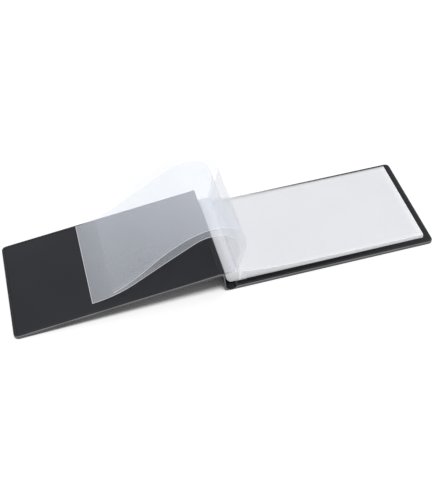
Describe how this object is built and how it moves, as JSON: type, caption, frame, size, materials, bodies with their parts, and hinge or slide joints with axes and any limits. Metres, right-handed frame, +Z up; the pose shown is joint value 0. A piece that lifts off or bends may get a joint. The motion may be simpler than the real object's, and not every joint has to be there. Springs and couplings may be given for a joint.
{
  "type": "medal album",
  "caption": "Pocket album with hinged stiff covers, a narrow soft spine and a bound stack of clear film sleeves, lying open with the upper sleeves arched over the front cover.",
  "frame": {"origin": "middle of the back cover's underside, on the table", "axes": "+X from the spine to the back cover's free edge, +Y across the pages to the back, +Z up"},
  "size_m": [0.3684, 0.105, 0.0704],
  "materials": {
    "cover_skin": "grained black leatherette",
    "cover_lining": "smooth matte charcoal",
    "board": "grey board",
    "root_plastic": "milky plastic",
    "film": "milky clear film",
    "turned_film": "clear film"
  },
  "bodies": {
    "back_cover": {"back_cover_skin": "cover_skin", "back_cover_board": "board", "back_cover_lining": "cover_lining", "binding_strip": "root_plastic", "root_spacers": "root_plastic", "root_tabs": "film", "root_tape": "film"},
    "spine": {"spine_skin": "cover_skin", "spine_lining": "cover_lining"},
    "front_cover": {"front_cover_skin": "cover_skin", "front_cover_board": "board", "front_cover_lining": "cover_lining"},
    "sleeve_1": {"sleeve_1_back_film": "film", "sleeve_1_front_film": "film"},
    "sleeve_2": {"sleeve_2_back_film": "film", "sleeve_2_front_film": "film"},
    "sleeve_3": {"sleeve_3_back_film": "film", "sleeve_3_front_film": "film"},
    "sleeve_4": {"sleeve_4_back_film": "film", "sleeve_4_front_film": "film"},
    "sleeve_5": {"sleeve_5_back_film": "film", "sleeve_5_front_film": "film"},
    "sleeve_6": {"sleeve_6_back_film": "film", "sleeve_6_front_film": "film"},
    "sleeve_7": {"sleeve_7_back_film": "film", "sleeve_7_front_film": "film"},
    "sleeve_8": {"sleeve_8_back_film": "film", "sleeve_8_front_film": "film"},
    "outer_turned_strip_1": {"outer_turned_sleeve_strip_1": "turned_film"},
    "outer_turned_strip_2": {"outer_turned_sleeve_strip_2": "turned_film"},
    "outer_turned_strip_3": {"outer_turned_sleeve_strip_3": "turned_film"},
    "outer_turned_strip_4": {"outer_turned_sleeve_strip_4": "turned_film"},
    "outer_turned_strip_5": {"outer_turned_sleeve_strip_5": "turned_film"},
    "inner_turned_strip_1": {"inner_turned_sleeve_strip_1": "turned_film"},
    "inner_turned_strip_2": {"inner_turned_sleeve_strip_2": "turned_film"},
    "inner_turned_strip_3": {"inner_turned_sleeve_strip_3": "turned_film"},
    "inner_turned_strip_4": {"inner_turned_sleeve_strip_4": "turned_film"},
    "inner_turned_strip_5": {"inner_turned_sleeve_strip_5": "turned_film"}
  },
  "joints": [
    {"name": "front_cover_hinge", "type": "hinge", "parent": "spine", "child": "front_cover", "pos_m": [-0.09937, 0, 0.02131], "axis": [0, 1, 0], "range_deg": [0, 163.42]},
    {"name": "spine_hinge", "type": "hinge", "parent": "back_cover", "child": "spine", "pos_m": [-0.091, 0, 0.0015], "axis": [0, 1, 0], "range_deg": [0, 23.2]},
    {"name": "sleeve_1_lift", "type": "hinge", "parent": "back_cover", "child": "sleeve_1", "pos_m": [-0.085, 0, 0.00374], "axis": [0, 1, 0], "range_deg": [-2, 0]},
    {"name": "sleeve_2_lift", "type": "hinge", "parent": "sleeve_1", "child": "sleeve_2", "pos_m": [-0.08464, 0, 0.00514], "axis": [0, 1, 0], "range_deg": [-3, 0]},
    {"name": "sleeve_3_lift", "type": "hinge", "parent": "sleeve_2", "child": "sleeve_3", "pos_m": [-0.08428, 0, 0.00654], "axis": [0, 1, 0], "range_deg": [-3, 0]},
    {"name": "sleeve_4_lift", "type": "hinge", "parent": "sleeve_3", "child": "sleeve_4", "pos_m": [-0.08392, 0, 0.00794], "axis": [0, 1, 0], "range_deg": [-4, 0]},
    {"name": "sleeve_5_lift", "type": "hinge", "parent": "sleeve_4", "child": "sleeve_5", "pos_m": [-0.08356, 0, 0.00934], "axis": [0, 1, 0], "range_deg": [-5, 0]},
    {"name": "sleeve_6_lift", "type": "hinge", "parent": "sleeve_5", "child": "sleeve_6", "pos_m": [-0.0832, 0, 0.01074], "axis": [0, 1, 0], "range_deg": [-6, 0]},
    {"name": "sleeve_7_lift", "type": "hinge", "parent": "sleeve_6", "child": "sleeve_7", "pos_m": [-0.08284, 0, 0.01214], "axis": [0, 1, 0], "range_deg": [-9, 0]},
    {"name": "sleeve_8_lift", "type": "hinge", "parent": "sleeve_7", "child": "sleeve_8", "pos_m": [-0.08248, 0, 0.01354], "axis": [0, 1, 0], "range_deg": [-20, 0]},
    {"name": "outer_turned_bend_1", "type": "hinge", "parent": "back_cover", "child": "outer_turned_strip_1", "pos_m": [-0.0868, 0, 0.01515], "axis": [0, 1, 0], "range_deg": [0, 69.8]},
    {"name": "outer_turned_bend_2", "type": "hinge", "parent": "outer_turned_strip_1", "child": "outer_turned_strip_2", "pos_m": [-0.07855, 0, 0.0398], "axis": [0, 1, 0], "range_deg": [0, 30.12]},
    {"name": "outer_turned_bend_3", "type": "hinge", "parent": "outer_turned_strip_2", "child": "outer_turned_strip_3", "pos_m": [-0.08198, 0, 0.06073], "axis": [0, 1, 0], "range_deg": [0, 60.98]},
    {"name": "outer_turned_bend_4", "type": "hinge", "parent": "outer_turned_strip_3", "child": "outer_turned_strip_4", "pos_m": [-0.10704, 0, 0.06984], "axis": [0, 1, 0], "range_deg": [0, 42.3]},
    {"name": "outer_turned_bend_5", "type": "hinge", "parent": "outer_turned_strip_4", "child": "outer_turned_strip_5", "pos_m": [-0.13135, 0, 0.06099], "axis": [0, 1, 0], "range_deg": [0, 16.49]},
    {"name": "inner_turned_bend_1", "type": "hinge", "parent": "back_cover", "child": "inner_turned_strip_1", "pos_m": [-0.08885, 0, 0.01615], "axis": [0, 1, 0], "range_deg": [0, 73.38]},
    {"name": "inner_turned_bend_2", "type": "hinge", "parent": "inner_turned_strip_1", "child": "inner_turned_strip_2", "pos_m": [-0.0835, 0, 0.04148], "axis": [0, 1, 0], "range_deg": [0, 43.49]},
    {"name": "inner_turned_bend_3", "type": "hinge", "parent": "inner_turned_strip_2", "child": "inner_turned_strip_3", "pos_m": [-0.09374, 0, 0.05977], "axis": [0, 1, 0], "range_deg": [0, 68.46]},
    {"name": "inner_turned_bend_4", "type": "hinge", "parent": "inner_turned_strip_3", "child": "inner_turned_strip_4", "pos_m": [-0.1205, 0, 0.05766], "axis": [0, 1, 0], "range_deg": [0, 28.87]},
    {"name": "inner_turned_bend_5", "type": "hinge", "parent": "inner_turned_strip_4", "child": "inner_turned_strip_5", "pos_m": [-0.17138, 0, 0.02587], "axis": [0, 1, 0], "range_deg": [-10.8, 0]}
  ],
  "couplings": [
    {"joint": "spine_hinge", "follows": "front_cover_hinge", "ratio": 0.14013},
    {"joint": "outer_turned_bend_1", "follows": "front_cover_hinge", "ratio": 0.42529},
    {"joint": "outer_turned_bend_2", "follows": "front_cover_hinge", "ratio": 0.18248},
    {"joint": "outer_turned_bend_3", "follows": "front_cover_hinge", "ratio": 0.37132},
    {"joint": "outer_turned_bend_4", "follows": "front_cover_hinge", "ratio": 0.25701},
    {"joint": "outer_turned_bend_5", "follows": "front_cover_hinge", "ratio": 0.099072},
    {"joint": "inner_turned_bend_1", "follows": "front_cover_hinge", "ratio": 0.4472},
    {"joint": "inner_turned_bend_2", "follows": "front_cover_hinge", "ratio": 0.26429},
    {"joint": "inner_turned_bend_3", "follows": "front_cover_hinge", "ratio": 0.41709},
    {"joint": "inner_turned_bend_4", "follows": "front_cover_hinge", "ratio": 0.17483},
    {"joint": "inner_turned_bend_5", "follows": "front_cover_hinge", "ratio": -0.064253}
  ]
}
